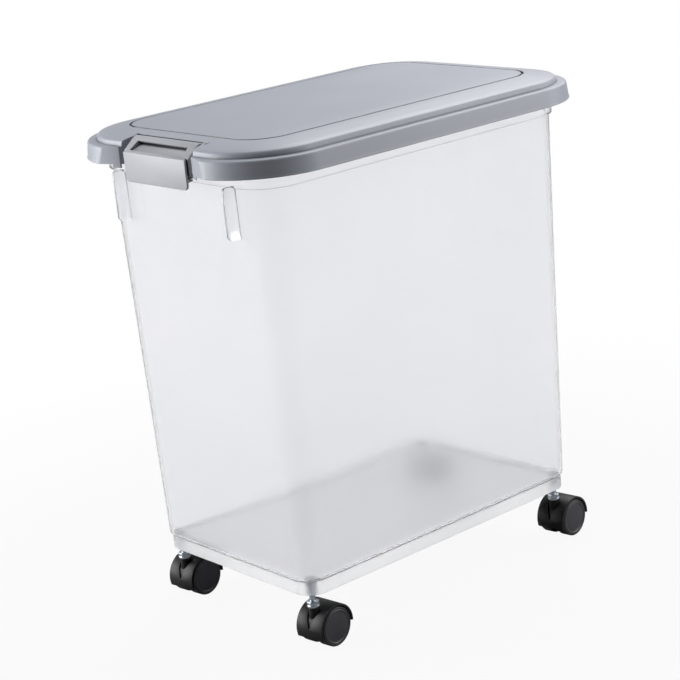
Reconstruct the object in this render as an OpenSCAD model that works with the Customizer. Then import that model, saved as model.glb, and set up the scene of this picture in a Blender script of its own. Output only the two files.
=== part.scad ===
// Rolling food storage bin with a hinged lid, a front buckle latch and four twin wheel casters.
// The origin is on the floor under the middle of the bin. The latch side faces -Y, the hinge side +Y.

/* [Bin] */
// Outer width of the bin wall at its lower edge
bin_w = 240; // [200:1:260]
// Outer length of the bin wall at its lower edge
bin_l = 377.6; // [320:0.1:400]
// Corner radius of the bin wall at its lower edge
bin_corner_r = 24; // [18:1:32]
// How far each wall leans out for every millimetre of height
bin_draft = 0.028; // [0.02:0.001:0.032]
// Wall thickness of the bin
bin_wall = 2.4; // [1.8:0.1:3]
// Thickness of the bin floor
floor_t = 2.6; // [2:0.1:3.5]
// Height of the lower edge of the foot ring above the ground
foot_z = 59; // [56:1:64]
// Height of the foot ring from its lower edge to the wall ledge
foot_h = 16.5; // [14:0.5:20]
// How far the foot ring stands back from the wall
foot_inset = 2.5; // [1.5:0.1:3]
// Height of the bin rim above the ground
rim_z = 488; // [440:1:488]

/* [Collar] */
// How far the collar band stands out from the wall
collar_out = 3; // [2:0.1:3.5]
// Distance from the rim down to the lower edge of the collar band
collar_drop = 19; // [16:0.5:22]
// Distance from the rim down to the upper edge of the collar band
collar_top_drop = 7; // [6:0.5:9]
// How far the lip on top of the collar band stands out from the band
collar_lip = 2; // [1:0.1:2.5]

/* [Front guide ribs] */
// Distance of each guide rib from the middle of the bin
guide_x = 87; // [72:1:92]
// Thickness of a guide rib
guide_t = 2.4; // [1.8:0.1:3]
// How far a guide rib reaches out from the wall at the collar
guide_out = 14; // [10:0.5:17]
// Length of a guide rib below the collar band
guide_l = 49; // [30:1:70]

/* [Lid] */
// How far the lid reaches out past the foot of the bin wall on each long side
lid_over_side = 37.7; // [32:0.1:45]
// How far the lid reaches out past the foot of the bin wall at the front and at the rear
lid_over_end = 43.4; // [40:0.1:50]
// Corner radius of the lid at the lower edge of its skirt
lid_corner_r = 81.7; // [76:0.1:88]
// Wall thickness of the lid
lid_wall = 2.4; // [2:0.1:2.6]
// Distance from the bin rim down to the lower edge of the skirt
skirt_drop = 5.2; // [3:0.1:7]
// Height of the skirt
skirt_h = 17.3; // [15:0.1:20]
// Width of the ledge between the skirt and the dome
ledge_w = 6.5; // [5:0.1:8]
// Height of the flat top panel above the ledge
dome_h = 10.9; // [9:0.1:13]
// Height of the steep step at the foot of the dome
dome_step = 5.4; // [4:0.1:6]
// Distance from the skirt's lower edge in to the groove round the top panel
panel_inset = 47.4; // [42:0.1:52]
// Width of the groove round the top panel
groove_w = 1.8; // [1:0.1:2.4]
// Depth of the groove round the top panel
groove_d = 1; // [0.6:0.1:1.2]

/* [Gasket] */
// Width of the gasket ring
gasket_w = 5.6; // [4.5:0.1:6]
// Height of the gasket ring
gasket_h = 4.2; // [3:0.1:5]
// Gap between the gasket and the bin rim when the lid is shut
gasket_gap = 0.3; // [0.2:0.05:0.6]
// Thickness of the ribs that hold the gasket
channel_rib = 1.8; // [1.4:0.1:2.2]

/* [Lid hinge] */
// Distance of each hinge from the middle of the lid
hinge_x = 60; // [50:1:70]
// Width of the lid knuckle on each hinge
knuckle_w = 21.4; // [16:0.1:24]
// Diameter of the hinge pin
hinge_pin_d = 6; // [5:0.1:7]
// Gap all round between the hinge pin and the knuckle
hinge_fit = 0.06; // [0.02:0.01:0.1]
// Thickness of each hinge bracket plate
bracket_t = 3; // [2.4:0.1:4]
// Gap between a bracket plate and the knuckle
hinge_side_gap = 0.4; // [0.3:0.1:0.6]
// Distance of the hinge pin behind the bin rim
hinge_out = 13.7; // [13:0.1:14.5]
// Distance of the hinge pin below the bin rim
hinge_drop = 2; // [1:0.1:3]

/* [Latch] */
// Width of the latch body over its cheeks
latch_w = 102; // [90:1:110]
// Width of the front plate
plate_w = 97.6; // [84:0.1:98]
// Height of the front plate
plate_h = 29.2; // [26:0.1:31]
// Thickness of the plates of the latch
latch_t = 2.5; // [2:0.1:3]
// Radius of the latch barrel round its pivot
barrel_r = 5.5; // [5:0.1:5.8]
// Diameter of the latch pivot pins
latch_pin_d = 4; // [3.4:0.1:4.2]
// Gap all round between a latch pin and its hole
latch_fit = 0.06; // [0.02:0.01:0.1]
// Distance of the latch pivot in from the front edge of the lid
pivot_inset = 27.2; // [24:0.1:30]
// Distance of the front plate in from the front edge of the lid
plate_inset = 7.5; // [4:0.1:9]
// Gap between the barrel and the lid
barrel_gap = 0.4; // [0.3:0.05:0.6]
// Distance from the latch cheek to the bay wall where the bay starts to flare
bay_gap = 10; // [8:0.1:13]
// How far each side of the bay flares out to its mouth
bay_flare = 6.5; // [4:0.1:9]
// How far the flared walls of the bay reach below the skirt
bay_drop = 3.8; // [2:0.1:5]
// Width of the catch rib on the bin and of the hook under it
catch_w = 68; // [40:1:76]

/* [Casters] */
// Distance of the caster stems in from the outside of the foot ring
stem_inset = 12.7; // [12:0.1:15]
// Outside diameter of the socket boss of a stem
socket_d = 11; // [10.6:0.1:12.5]
// Diameter of the stem in its socket
stem_d = 8; // [7:0.1:8.4]
// Diameter of the stem neck between the bin and the caster
neck_d = 6; // [5:0.1:6.5]
// Diameter of the stem flange over its corners
flange_d = 12.6; // [11:0.1:14]
// Distance from the foot ring down to the lower face of the flange
flange_drop = 15; // [13:0.1:17]
// Angle by which the casters stand turned from straight
caster_turn = 7; // [-30:1:30]
// Distance from the stem to the wheel axle
caster_trail = 13.6; // [12:0.1:16]
// Wheel diameter
wheel_d = 40; // [36:0.5:44]
// Tread width of one wheel
wheel_t = 12.6; // [10:0.1:13]
// Width over both wheels of a caster
caster_w = 34.2; // [32:0.1:38]
// Gap between the wheel tread and the hood
hood_gap = 1.2; // [0.8:0.1:2]
// Wall thickness of the hood
hood_t = 2.3; // [1.8:0.1:2.8]
// Axle diameter
axle_d = 5; // [4:0.1:6]
// Gap all round between an axle or stem and what turns on it
caster_fit = 0.06; // [0.02:0.01:0.1]

/* [Hidden] */
$fn = 72;
eps = 0.01;
// How far a cutting shape runs on past the part
over = 20;

WHERE = ["front_left", "front_right", "rear_left", "rear_right"];

// Bin levels and corner centres
wall_z = foot_z + foot_h;
bin_cx = bin_w / 2 - bin_corner_r;
bin_cy = bin_l / 2 - bin_corner_r;
function bin_r(z) = bin_corner_r + bin_draft * (z - wall_z);
floor_z = wall_z - 0.5;
collar_z = rim_z - collar_drop;
collar_top_z = rim_z - collar_top_drop;
collar_r = bin_r(collar_z) + collar_out;
lip_r = collar_r + collar_lip;
lip_t = 1.6;
rim_mid_r = bin_r(rim_z) - bin_wall / 2;

// Lid levels and corner centres
skirt_z = rim_z - skirt_drop;
ledge_z = skirt_z + skirt_h;
panel_z = ledge_z + dome_h;
lid_w = bin_w + 2 * lid_over_side;
lid_l = bin_l + 2 * lid_over_end;
lid_cx = lid_w / 2 - lid_corner_r;
lid_cy = lid_l / 2 - lid_corner_r;
skirt_lean = 3.1;
skirt_fillet = 3;
dome_r = lid_corner_r - skirt_lean - skirt_fillet - ledge_w;
panel_r = lid_corner_r - panel_inset;
shoulder_r = dome_r - 0.27 * (dome_r - panel_r);
shoulder_z = ledge_z + dome_step + 0.35 * (dome_h - dome_step);
brow_r = dome_r - 0.61 * (dome_r - panel_r);
brow_z = panel_z - 0.3 * (dome_h - dome_step);
underside_z = panel_z - lid_wall;

// Gasket channel under the lid
gasket_z = rim_z + gasket_gap;
channel_z = gasket_z + gasket_h;
channel_fit = 0.1;
channel_in_r = rim_mid_r - gasket_w / 2 - channel_fit;
channel_out_r = rim_mid_r + gasket_w / 2 + channel_fit;
inner_rib_z = rim_z + 1.6;
outer_rib_z = rim_z + 1;

// Lid hinge
hinge_y = bin_cy + bin_r(rim_z) + hinge_out;
hinge_z = rim_z - hinge_drop;
bracket_x = knuckle_w / 2 + hinge_side_gap;
knuckle_r = hinge_pin_d / 2 + 2.4;

// Latch
pivot_y = -lid_l / 2 + pivot_inset;
pivot_z = ledge_z + 3.4;
plate_y = -lid_l / 2 + plate_inset;
plate_top_z = pivot_z - 6.9;
surround_z = pivot_z + barrel_r + 0.6;
surround_w = 5;
slot_back = barrel_r - 1.3;
slot_w = latch_w + 4;
throat_x = latch_w / 2 + bay_gap;
mouth_x = throat_x + bay_flare;
mouth_y = -lid_l / 2 + 0.7;
throat_y = mouth_y + bay_flare;
catch_y = -bin_cy - collar_r - 6.5;
catch_z = rim_z - 14;
guide_y = -bin_cy - bin_r(collar_z) - guide_out;

// Casters
stem_x = bin_w / 2 - foot_inset - stem_inset;
stem_y = bin_l / 2 - foot_inset - stem_inset;
wheel_r = wheel_d / 2;
hood_in_r = wheel_r + hood_gap;
hood_r = hood_in_r + hood_t;
flange_z = foot_z - flange_drop;
flange_h = 6;
neck_l = 12;
boss_d = neck_d + 4.4;
boss_h = neck_l + 2;
recess_w = caster_w * 0.53;
recess_h = wheel_r + 1;
stem_top_z = floor_z - floor_t - 0.6;
grip_z = foot_z + 6;
grip_h = 4;

// Puts its child 2D section, whose x is the distance out from the corner centres, round a rectangle
module sweep_round(cx, cy) {
  for (side = [0, 1]) {
    rotate([0, 0, 180 * side]) {
      translate([cx, cy, 0]) rotate_extrude(angle = 90) children();
      translate([-cx, cy, 0]) rotate([0, 0, 90]) rotate_extrude(angle = 90) children();
      translate([cx, cy, 0]) rotate([90, 0, 0]) linear_extrude(2 * cy) children();
      rotate([0, 0, 90]) translate([cy, cx, 0]) rotate([90, 0, 0]) linear_extrude(2 * cx) children();
    }
  }
}

// Flat plate with round corners
module round_plate(cx, cy, r, h) {
  linear_extrude(h) {
    square([2 * (cx + r), 2 * cy], center = true);
    square([2 * cx, 2 * (cy + r)], center = true);
    for (sx = [-1, 1], sy = [-1, 1]) translate([sx * cx, sy * cy]) circle(r);
  }
}

// Runs its child 2D section, drawn as y and z, along X over a width centred on x
module along_x(w, x = 0) {
  translate([x - w / 2, 0, 0]) rotate([90, 0, 90]) linear_extrude(w) children();
}

// Bin wall, foot ring, collar and rim in one section
module bin_section() {
  foot_r = bin_corner_r - foot_inset;
  in_r = bin_r(floor_z) - bin_wall;
  polygon([
    [foot_r - bin_wall, foot_z],
    [foot_r, foot_z],
    [foot_r, wall_z - 2],
    [foot_r + 0.8, wall_z - 0.8],
    [foot_r + foot_inset, wall_z],
    [bin_r(collar_z), collar_z],
    [collar_r - 0.8, collar_z],
    [collar_r, collar_z + 0.8],
    [collar_r, collar_top_z - lip_t],
    [lip_r, collar_top_z - lip_t],
    [lip_r, collar_top_z],
    [bin_r(collar_top_z) + 0.4, collar_top_z],
    [bin_r(rim_z - 1.2) + 0.6, rim_z - 1.2],
    [bin_r(rim_z), rim_z],
    [bin_r(rim_z) - bin_wall, rim_z],
    [in_r + bin_draft * 5, floor_z + 5],
    [in_r - 1.4, floor_z + 1.4],
    [in_r - 5, floor_z],
    [foot_r - 9, floor_z],
    [foot_r - 9, floor_z - floor_t],
    [foot_r - bin_wall, floor_z - floor_t]]);
}

module hinge_bracket_plate() {
  polygon([
    [hinge_y - hinge_out - 1.2, collar_z + 4],
    [hinge_y - 8, hinge_z - 8],
    [hinge_y + 2, hinge_z - 5],
    [hinge_y + 5, hinge_z - 2],
    [hinge_y + 5, hinge_z + 2],
    [hinge_y + 2, hinge_z + 5],
    [hinge_y - 4, hinge_z + 4],
    [hinge_y - hinge_out - 1.2, hinge_z - 2]]);
}

module bin_body() {
  color([0.88, 0.88, 0.91, 0.6]) difference() {
    union() {
      sweep_round(bin_cx, bin_cy) bin_section();
      translate([0, 0, floor_z - floor_t])
        round_plate(bin_cx, bin_cy, bin_corner_r - foot_inset - 8, floor_t);
      // Stem sockets in the foot ring
      for (sx = [-1, 1], sy = [-1, 1])
        translate([sx * stem_x, sy * stem_y, foot_z]) cylinder(d = socket_d, h = floor_z - floor_t / 2 - foot_z);
      // Web from each socket into the corner of the foot ring
      for (sx = [-1, 1], sy = [-1, 1])
        translate([sx * stem_x, sy * stem_y, foot_z + 1.5]) rotate([0, 0, sx * sy * 45])
          translate([sx * 4.6, -0.8, 0]) mirror([sx < 0 ? 1 : 0, 0, 0]) cube([3, 1.6, floor_z - floor_t / 2 - foot_z - 1.5]);
      // Hinge brackets with their pins
      for (sx = [-1, 1]) {
        for (side = [-1, 1])
          along_x(bracket_t, sx * hinge_x + side * (bracket_x + bracket_t / 2)) hinge_bracket_plate();
        translate([sx * hinge_x, hinge_y, hinge_z]) rotate([0, 90, 0])
          cylinder(d = hinge_pin_d, h = 2 * bracket_x + bracket_t, center = true);
      }
      // Catch rib under the latch
      along_x(catch_w) polygon([
        [catch_y + eps + 7.5, catch_z + 5],
        [catch_y + 1, catch_z + 4],
        [catch_y, catch_z + 3],
        [catch_y, catch_z],
        [catch_y + 7.5, catch_z]]);
      // Guide ribs on the front
      for (sx = [-1, 1])
        along_x(guide_t, sx * guide_x) polygon([
          [guide_y + 1, collar_z + 2],
          [guide_y, collar_z + 1],
          [guide_y, collar_z - guide_l + 3],
          [guide_y + 3, collar_z - guide_l],
          [-bin_cy - bin_r(collar_z - guide_l) + bin_wall / 2, collar_z - guide_l],
          [-bin_cy - bin_r(collar_z) + bin_wall / 2, collar_z + 2]]);
    }
    for (sx = [-1, 1], sy = [-1, 1])
      translate([sx * stem_x, sy * stem_y, foot_z - eps])
        cylinder(d = stem_d + 2 * caster_fit, h = stem_top_z + 0.3 - foot_z + eps);
  }
}

// Outer face of the lid from the skirt to the top panel
module lid_outer_section() {
  r = lid_corner_r;
  polygon([
    [0, skirt_z],
    [r, skirt_z],
    [r - 1.1, skirt_z + 2.6],
    [r - skirt_lean, ledge_z - skirt_fillet],
    [r - skirt_lean - 0.9, ledge_z - 0.9],
    [r - skirt_lean - skirt_fillet, ledge_z],
    [dome_r, ledge_z],
    [dome_r - 0.5, ledge_z + dome_step - 1],
    [dome_r - 1.6, ledge_z + dome_step],
    [shoulder_r, shoulder_z],
    [brow_r, brow_z],
    [panel_r + groove_w, panel_z - 0.2],
    [panel_r + groove_w / 2, panel_z - groove_d],
    [panel_r, panel_z - groove_d],
    [panel_r - groove_w / 2, panel_z],
    [0, panel_z]]);
}

// Hollow under the lid
module lid_inner_section() {
  r = lid_corner_r - lid_wall;
  polygon([
    [0, skirt_z - over],
    [r, skirt_z - over],
    [r, skirt_z],
    [r - 1.1, skirt_z + 2.6],
    [r - skirt_lean, ledge_z - lid_wall],
    [dome_r - lid_wall, ledge_z - lid_wall],
    [dome_r - lid_wall - 0.6, ledge_z + dome_step - lid_wall - 0.6],
    [shoulder_r, shoulder_z - lid_wall],
    [brow_r, brow_z - lid_wall],
    [panel_r + groove_w, underside_z - 0.5],
    [panel_r - 2, underside_z],
    [0, underside_z]]);
}

module solid_of_section(cx, cy, z0, z1) {
  sweep_round(cx, cy) children();
  translate([-cx, -cy, z0]) cube([2 * cx, 2 * cy, z1 - z0]);
}

// Plan of the bay in the front of the lid, grown by a wall
module bay_plan(grow) {
  side = 1.3 * grow;
  front = -lid_l / 2 - 5;
  polygon([
    [-slot_w / 2 - side, pivot_y + grow],
    [-throat_x - side, throat_y],
    [-mouth_x - side, mouth_y],
    [-mouth_x - side, front],
    [mouth_x + side, front],
    [mouth_x + side, mouth_y],
    [throat_x + side, throat_y],
    [slot_w / 2 + side, pivot_y + grow]]);
}

// Lower edge of a flared bay wall, which reaches below the skirt
module bay_lip() {
  side = 1.3 * lid_wall;
  translate([0, 0, skirt_z - bay_drop]) linear_extrude(bay_drop + 4) polygon([
    [throat_x - 1, throat_y + 1],
    [throat_x + side - 1, throat_y + 1],
    [mouth_x + side - 2, mouth_y + 2],
    [mouth_x - 2, mouth_y + 2]]);
}

// What stays inside the hollow of the lid: gasket channel, bay walls, knuckles and pin bosses
module lid_inside() {
  sweep_round(bin_cx, bin_cy) {
    translate([channel_out_r, outer_rib_z]) square([channel_rib, panel_z - outer_rib_z]);
    translate([channel_in_r - channel_rib, inner_rib_z]) square([channel_rib, panel_z - inner_rib_z]);
    translate([channel_in_r - 1, channel_z]) square([channel_out_r - channel_in_r + 2, 2]);
  }
  translate([0, 0, skirt_z]) linear_extrude(panel_z - skirt_z) bay_plan(lid_wall);
  translate([0, pivot_y, pivot_z]) rotate([0, 90, 0])
    cylinder(r = barrel_r + barrel_gap + 2, h = slot_w + 2 * lid_wall, center = true);
  for (sx = [-1, 1])
    translate([sx * slot_w / 2, pivot_y, pivot_z]) rotate([0, sx * 90, 0]) cylinder(d = 9, h = 7);
  for (sx = [-1, 1]) knuckle(sx * hinge_x, panel_z);
}

module knuckle(x, top) {
  translate([x, hinge_y, hinge_z]) rotate([0, 90, 0]) cylinder(r = knuckle_r, h = knuckle_w, center = true);
  translate([x - knuckle_w / 2, hinge_y - knuckle_r, hinge_z]) cube([knuckle_w, 2 * knuckle_r - 1, top - hinge_z]);
}

module lid() {
  color([0.72, 0.74, 0.78]) difference() {
    union() {
      solid_of_section(lid_cx, lid_cy, skirt_z, panel_z) lid_outer_section();
      for (sx = [-1, 1]) knuckle(sx * hinge_x, ledge_z - 6);
      bay_lip();
      mirror([1, 0, 0]) bay_lip();
      // Raised rim round the latch barrel
      along_x(slot_w + 2 * surround_w) polygon([
        [pivot_y - 1, pivot_z - 2],
        [pivot_y - 1, surround_z - 1.5],
        [pivot_y + 1.5, surround_z],
        [-lid_l / 2 + panel_inset - 2, surround_z],
        [-lid_l / 2 + panel_inset - 2, pivot_z - 2]]);
    }
    difference() {
      solid_of_section(lid_cx, lid_cy, skirt_z - over, underside_z) lid_inner_section();
      lid_inside();
    }
    // Bay for the latch
    translate([0, 0, skirt_z - over]) linear_extrude(panel_z - skirt_z + 2 * over) bay_plan(0);
    translate([0, pivot_y, pivot_z]) rotate([0, 90, 0])
      cylinder(r = barrel_r + barrel_gap, h = slot_w, center = true);
    translate([-slot_w / 2, pivot_y - 1, pivot_z]) cube([slot_w, 1 + slot_back, over]);
    translate([0, pivot_y, pivot_z]) rotate([0, 90, 0])
      cylinder(d = latch_pin_d + 2 * latch_fit, h = latch_w + 14, center = true);
    // Snap openings of the knuckles
    for (sx = [-1, 1]) {
      translate([sx * hinge_x, hinge_y, hinge_z]) rotate([0, 90, 0])
        cylinder(d = hinge_pin_d + 2 * hinge_fit, h = knuckle_w + 2, center = true);
      translate([sx * hinge_x - knuckle_w / 2 - 1, hinge_y - hinge_pin_d * 0.43, hinge_z - knuckle_r - 1])
        cube([knuckle_w + 2, hinge_pin_d * 0.86, knuckle_r + 1]);
    }
  }
}

module lid_gasket() {
  color([0.9, 0.9, 0.9]) sweep_round(bin_cx, bin_cy)
    translate([rim_mid_r, gasket_z]) polygon([
      [-gasket_w / 2, 0.8],
      [-gasket_w / 2 + 0.8, 0],
      [gasket_w / 2 - 0.8, 0],
      [gasket_w / 2, 0.8],
      [gasket_w / 2, gasket_h],
      [-gasket_w / 2, gasket_h]]);
}

// Side view of a latch cheek
module cheek_section() {
  polygon([
    [pivot_y - 3, pivot_z + barrel_r - 1.2],
    [plate_y + 4.7, plate_top_z + 3],
    [plate_y + 3.7, plate_top_z + 1],
    [plate_y + 3.7, skirt_z - 2],
    [plate_y + 3.7 + latch_t, skirt_z - 2],
    [plate_y + 3.7 + latch_t + 3, plate_top_z - 6],
    [pivot_y - 4.5, pivot_z - 2]]);
}

// Side view of the pocket, the front plate and the hook
module latch_section() {
  polygon([
    [pivot_y - 1.5, pivot_z + barrel_r - 1],
    [pivot_y - 7, plate_top_z + 5.5],
    [plate_y + 1, plate_top_z],
    [plate_y, plate_top_z - 1],
    [plate_y + latch_t, plate_top_z - 3],
    [pivot_y - 7, plate_top_z + 5.5 - latch_t],
    [pivot_y - 2, pivot_z]]);
}

module latch() {
  color([0.79, 0.8, 0.82]) {
    translate([0, pivot_y, pivot_z]) rotate([0, 90, 0]) cylinder(r = barrel_r, h = latch_w, center = true);
    translate([0, pivot_y, pivot_z]) rotate([0, 90, 0]) cylinder(d = latch_pin_d, h = latch_w + 12, center = true);
    cheek_w = (latch_w - plate_w) / 2 + 3.5;
    for (sx = [-1, 1]) along_x(cheek_w, sx * (latch_w - cheek_w) / 2) cheek_section();
    along_x(plate_w) latch_section();
    // Front plate with round lower corners
    translate([0, plate_y + latch_t, 0]) rotate([90, 0, 0]) linear_extrude(latch_t) {
      r = 5;
      low = plate_top_z - plate_h;
      translate([-plate_w / 2, low + r]) square([plate_w, plate_h - r - 1]);
      translate([-plate_w / 2 + r, low]) square([plate_w - 2 * r, r + 1]);
      for (sx = [-1, 1]) translate([sx * (plate_w / 2 - r), low + r]) circle(r);
    }
    // Hook that goes under the catch rib
    along_x(catch_w) polygon([
      [plate_y + latch_t - 1, catch_z - 0.6],
      [catch_y + 3, catch_z - 0.6],
      [catch_y + 3, catch_z - 2.4],
      [plate_y + latch_t - 1, catch_z - 4.6]]);
  }
}

// Puts children at a caster's stem; which counts through WHERE
module at_stem(which) {
  sx = which % 2 == 0 ? -1 : 1;
  sy = which < 2 ? -1 : 1;
  translate([sx * stem_x, sy * stem_y, 0]) children();
}

module at_axle(which) {
  at_stem(which) rotate([0, 0, caster_turn]) translate([0, caster_trail, wheel_r]) rotate([0, 90, 0]) children();
}

module stem(which) {
  color([0.75, 0.78, 0.8]) at_stem(which) difference() {
    union() {
      translate([0, 0, flange_z - neck_l]) cylinder(d = neck_d, h = foot_z - flange_z + neck_l + 0.5);
      translate([0, 0, foot_z + 0.5]) cylinder(d = stem_d, h = stem_top_z - foot_z - 1.3);
      translate([0, 0, stem_top_z - 0.8]) cylinder(d1 = stem_d, d2 = stem_d - 1.6, h = 0.8);
      translate([0, 0, flange_z]) cylinder(d = flange_d, h = 2.2);
      translate([0, 0, flange_z + 2.2]) cylinder(d = flange_d - 0.6, h = flange_h - 2.2, $fn = 6);
    }
    // Groove of the grip ring
    translate([0, 0, grip_z]) difference() {
      cylinder(d = stem_d + 1, h = grip_h);
      translate([0, 0, -1]) cylinder(d = stem_d - 1.6, h = grip_h + 2);
    }
  }
}

module grip_rings() {
  color([0.6, 0.62, 0.64]) for (which = [0 : 3]) at_stem(which)
    translate([0, 0, grip_z + 0.1]) difference() {
      cylinder(d = stem_d - 0.1, h = grip_h - 0.2);
      translate([0, 0, -1]) cylinder(d = stem_d - 1.5, h = grip_h + 2);
      translate([0, -0.6, -1]) cube([stem_d, 1.2, grip_h + 2]);
    }
}

// Arc band of a hood over one wheel, drawn round the axle
module fender_plan() {
  front = 200;
  reach = 3 * wheel_r;
  difference() {
    circle(hood_r);
    circle(hood_in_r);
    polygon([[0, 0], reach * [cos(front), sin(front)], reach * [cos(290), sin(290)], reach * [cos(-3), sin(-3)]]);
  }
}

module hood(which) {
  web = caster_w - 2 * wheel_t - 2;
  reach = 3 * wheel_r;
  color([0.1, 0.1, 0.11]) difference() {
    union() {
      at_stem(which) rotate([0, 0, caster_turn]) {
        translate([0.4 - caster_w / 2, caster_trail, wheel_r]) rotate([90, 0, 90])
          linear_extrude(caster_w - 0.8) fender_plan();
        // Middle web that holds the axle
        translate([-web / 2, caster_trail, wheel_r]) rotate([90, 0, 90]) linear_extrude(web) {
          circle(axle_d / 2 + 3);
          difference() {
            circle(hood_in_r + 1);
            polygon([[0, -axle_d * 0.8], reach * [cos(200), sin(200)], [0, -reach], reach * [cos(3), sin(3)]]);
          }
        }
        translate([0, 0, flange_z - boss_h]) cylinder(d = boss_d, h = boss_h);
      }
    }
    at_stem(which) rotate([0, 0, caster_turn]) {
      // Recess in front of the stem
      difference() {
        translate([0, 0, flange_z]) rotate([90, 0, 0]) linear_extrude(wheel_d)
          polygon([[-recess_w / 2, 1], [0, -recess_h], [recess_w / 2, 1]]);
        cylinder(d = boss_d, h = foot_z);
      }
      translate([0, 0, flange_z - neck_l - 0.3]) cylinder(d = neck_d + 2 * caster_fit, h = neck_l + 1);
    }
    at_axle(which) cylinder(d = axle_d + 2 * caster_fit, h = caster_w, center = true);
    // Room for the wheels under the stem boss
    for (side = [0, 180]) at_axle(which) rotate([side, 0, 0]) translate([0, 0, web / 2]) cylinder(r = hood_in_r, h = caster_w);
  }
}

module axle(which) {
  color([0.7, 0.72, 0.74]) at_axle(which) cylinder(d = axle_d, h = caster_w - 5, center = true);
}

// One wheel, with its outer face away from the middle of the caster
module wheel(which, side) {
  color([0.2, 0.2, 0.22]) at_axle(which) rotate([0, side < 0 ? 180 : 0, 0]) rotate_extrude()
    polygon([
      [axle_d / 2 + caster_fit, caster_w / 2 - wheel_t],
      [wheel_r - 1, caster_w / 2 - wheel_t],
      [wheel_r, caster_w / 2 - wheel_t + 1],
      [wheel_r, caster_w / 2 - 1.4],
      [wheel_r - 1.4, caster_w / 2 - 0.3],
      [wheel_r - 2, caster_w / 2 - 0.3],
      [wheel_r - 2, caster_w / 2 - 2],
      [axle_d / 2 + 3.4, caster_w / 2 - 2],
      [axle_d / 2 + 3.4, caster_w / 2 - 2.6],
      [axle_d / 2 + caster_fit, caster_w / 2 - 2.6]]);
}

module wheel_cap(which, side) {
  color([0.22, 0.22, 0.24]) at_axle(which) rotate([0, side < 0 ? 180 : 0, 0]) rotate_extrude()
    polygon([
      [0, caster_w / 2 - 2],
      [wheel_r - 2.1, caster_w / 2 - 2],
      [wheel_r - 2.1, caster_w / 2 - 0.6],
      [wheel_r - 2.8, caster_w / 2 - 0.3],
      [wheel_r - 5, caster_w / 2 - 0.2],
      [0, caster_w / 2]]);
}

bin_body();
lid();
lid_gasket();
latch();
grip_rings();
for (i = [0 : 3]) {
  stem(i);
  hood(i);
  axle(i);
  wheel(i, i % 2 == 0 ? 1 : -1);
  wheel(i, i % 2 == 0 ? -1 : 1);
  wheel_cap(i, i % 2 == 0 ? 1 : -1);
  wheel_cap(i, i % 2 == 0 ? -1 : 1);
}
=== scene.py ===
# Rolling food storage bin: tub, lid, buckle latch and four twin wheel casters, dressed for a studio shot
import math
import bmesh
import bpy
from mathutils import Matrix, Vector


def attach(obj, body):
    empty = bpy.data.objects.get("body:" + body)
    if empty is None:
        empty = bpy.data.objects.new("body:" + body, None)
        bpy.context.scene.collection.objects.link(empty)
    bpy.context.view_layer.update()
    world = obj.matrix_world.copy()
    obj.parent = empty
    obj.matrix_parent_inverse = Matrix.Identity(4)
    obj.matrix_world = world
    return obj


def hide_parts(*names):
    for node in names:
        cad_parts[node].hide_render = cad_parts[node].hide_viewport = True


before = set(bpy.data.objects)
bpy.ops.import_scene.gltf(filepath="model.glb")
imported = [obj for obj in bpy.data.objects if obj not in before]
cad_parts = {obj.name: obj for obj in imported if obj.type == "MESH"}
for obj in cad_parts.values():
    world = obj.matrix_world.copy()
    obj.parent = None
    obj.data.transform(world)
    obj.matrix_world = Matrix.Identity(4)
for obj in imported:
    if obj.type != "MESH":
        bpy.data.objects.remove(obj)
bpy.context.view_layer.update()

mm = 0.001
corners = ["front_left", "front_right", "rear_left", "rear_right"]
# turns a piece lathed round Z to lie along X
quarterTurn = Matrix.Rotation(math.pi / 2, 4, "Y")


# Helpers for modelling. Lengths are in mm, and drawChain turns them into metres.

def dropSelection():
    if bpy.context.object and bpy.context.object.mode != "OBJECT":
        bpy.ops.object.mode_set(mode="OBJECT")
    bpy.ops.object.select_all(action="DESELECT")


def takeUp(piece):
    # makes one piece the only selected and active one
    dropSelection()
    piece.select_set(True)
    bpy.context.view_layer.objects.active = piece


def pickVerts(piece, wanted):
    # selects the vertices whose place passes the test
    bpy.ops.mesh.select_mode(type="VERT")
    bpy.ops.mesh.select_all(action="DESELECT")
    cage = bmesh.from_edit_mesh(piece.data)
    for v in cage.verts:
        v.select_set(bool(wanted(v.co / mm)))
    cage.select_flush_mode()
    bmesh.update_edit_mesh(piece.data)


def pickEdges(piece, wanted):
    # selects the edges whose two ends pass the test
    bpy.ops.mesh.select_mode(type="EDGE")
    bpy.ops.mesh.select_all(action="DESELECT")
    cage = bmesh.from_edit_mesh(piece.data)
    for e in cage.edges:
        e.select_set(bool(wanted(e.verts[0].co / mm, e.verts[1].co / mm)))
    bmesh.update_edit_mesh(piece.data)


def roundOff(points):
    # corner points (a, b, radius) become a list of points with each corner turned into an arc
    straightAngle = math.radians(178)
    arcStep = math.radians(14)
    edgeShare = 0.48
    out = []
    count = len(points)
    for i, (x, y, r) in enumerate(points):
        here = Vector((x, y))
        before = Vector(points[i - 1][:2]) - here
        after = Vector(points[(i + 1) % count][:2]) - here
        if r <= 0:
            out.append((x, y))
            continue
        angle = before.angle(after)
        if angle > straightAngle:
            out.append((x, y))
            continue
        back = min(r / math.tan(angle / 2), edgeShare * before.length, edgeShare * after.length)
        r = back * math.tan(angle / 2)
        inward = (before.normalized() + after.normalized()).normalized()
        middle = here + inward * (r / math.sin(angle / 2))
        start = here + before.normalized() * back - middle
        end = here + after.normalized() * back - middle
        turn = start.angle_signed(end)
        steps = max(2, int(abs(turn) / arcStep))
        for k in range(steps + 1):
            t = -turn * k / steps
            out.append((middle.x + start.x * math.cos(t) - start.y * math.sin(t),
                        middle.y + start.x * math.sin(t) + start.y * math.cos(t)))
    return out


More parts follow.
